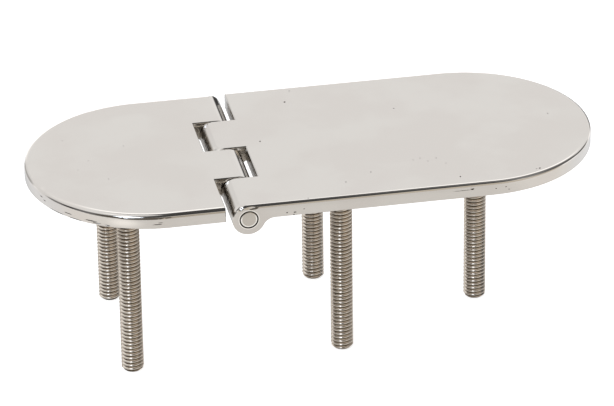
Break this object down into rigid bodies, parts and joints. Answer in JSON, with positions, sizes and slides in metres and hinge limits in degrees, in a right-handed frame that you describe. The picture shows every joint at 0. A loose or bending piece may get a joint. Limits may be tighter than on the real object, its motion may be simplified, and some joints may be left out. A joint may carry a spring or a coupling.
{
  "type": "deck hinge",
  "caption": "Flush hinge with two polished round-ended leaves on interlocking knuckles, and threaded studs standing out of their undersides.",
  "frame": {"origin": "midway between the long leaf's two studs nearest the hinge line, on the mounting face", "axes": "+X along the hinge from the short leaf to the long leaf, +Y along the hinge pin towards the back, +Z out of the top faces"},
  "size_m": [0.2024, 0.0888, 0.0688],
  "materials": {
    "polished_casting": "polished",
    "pin_steel": "ground",
    "stud_steel": "as rolled"
  },
  "bodies": {
    "long_side": {"long_leaf": "polished_casting", "hinge_pin": "pin_steel", "stud_long_front": "stud_steel", "stud_long_back": "stud_steel", "stud_long_end": "stud_steel"},
    "short_side": {"short_leaf": "polished_casting", "stud_short_front": "stud_steel", "stud_short_back": "stud_steel"}
  },
  "joints": [
    {"name": "leaf_hinge", "type": "hinge", "parent": "long_side", "child": "short_side", "pos_m": [-0.0357, 0, 0.0001], "axis": [0, 1, 0], "range_deg": [-56, 105]}
  ]
}
